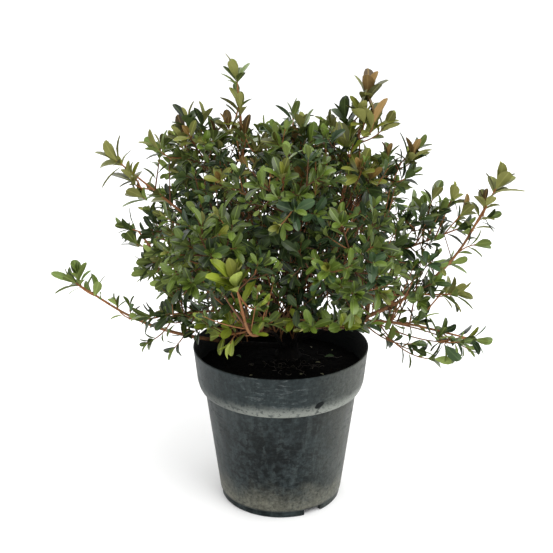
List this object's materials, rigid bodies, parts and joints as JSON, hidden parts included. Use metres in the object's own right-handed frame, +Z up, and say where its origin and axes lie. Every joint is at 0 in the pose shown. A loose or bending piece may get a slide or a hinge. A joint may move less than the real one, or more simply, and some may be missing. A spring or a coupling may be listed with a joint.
{
  "type": "potted azalea shrub",
  "caption": "Small evergreen azalea with a short trunk, arching boughs and whorled leafy shoots, in a round tapered nursery pot filled with compost.",
  "frame": {"origin": "centre of the pot's flat underside, where the pot rests", "axes": "+Z up along the pot's axis, -Y towards the front of the plant, +X to its right"},
  "size_m": [0.4931, 0.3401, 0.4811],
  "materials": {
    "pot_plastic": "weathered dark blue-grey plastic with pale dust and scuffs",
    "compost": "moist dark potting compost of bark and peat",
    "old_bark": "rough grey-brown bark",
    "young_bark": "smooth reddish-brown bark",
    "foliage": "glossy dark green leaves, olive and bronze at the highest shoots",
    "bright_foliage": "satin yellow-green young leaves"
  },
  "bodies": {
    "root": {"pot": "pot_plastic", "compost": "compost", "trunk": "old_bark", "bough_left": "young_bark", "foliage_left": "foliage", "bough_low_left": "young_bark", "foliage_low_left": "foliage", "bough_low_left_inner": "young_bark", "foliage_low_left_inner": "foliage", "bough_far_right": "young_bark", "foliage_far_right": "foliage", "bough_low_right": "young_bark", "foliage_low_right": "foliage", "bough_lower_right": "young_bark", "foliage_lower_right": "foliage", "bough_right": "young_bark", "foliage_right": "foliage", "bough_front_low_left": "young_bark", "foliage_front_low_left": "bright_foliage", "bough_front_low_right": "young_bark", "foliage_front_low_right": "bright_foliage", "bough_back_low_left": "young_bark", "foliage_back_low_left": "foliage", "bough_back_low_right": "young_bark", "foliage_back_low_right": "foliage", "bough_front_left": "young_bark", "foliage_front_left": "bright_foliage", "bough_front_shoot": "young_bark", "foliage_front_shoot": "bright_foliage", "bough_front_right": "young_bark", "foliage_front_right": "bright_foliage", "bough_back_left": "young_bark", "foliage_back_left": "foliage", "bough_back_right": "young_bark", "foliage_back_right": "foliage", "bough_top_left": "young_bark", "foliage_top_left": "foliage", "bough_upper_left": "young_bark", "foliage_upper_left": "foliage", "bough_top_lead": "young_bark", "foliage_top_lead": "foliage", "bough_top_right": "young_bark", "foliage_top_right": "foliage", "bough_upper_right": "young_bark", "foliage_upper_right": "foliage", "bough_front_centre": "young_bark", "foliage_front_centre": "bright_foliage", "bough_top_centre": "young_bark", "foliage_top_centre": "foliage", "bough_back_centre": "young_bark", "foliage_back_centre": "foliage", "bough_back_top": "young_bark", "foliage_back_top": "foliage", "bough_inner": "young_bark", "foliage_inner": "foliage"}
  },
  "joints": []
}
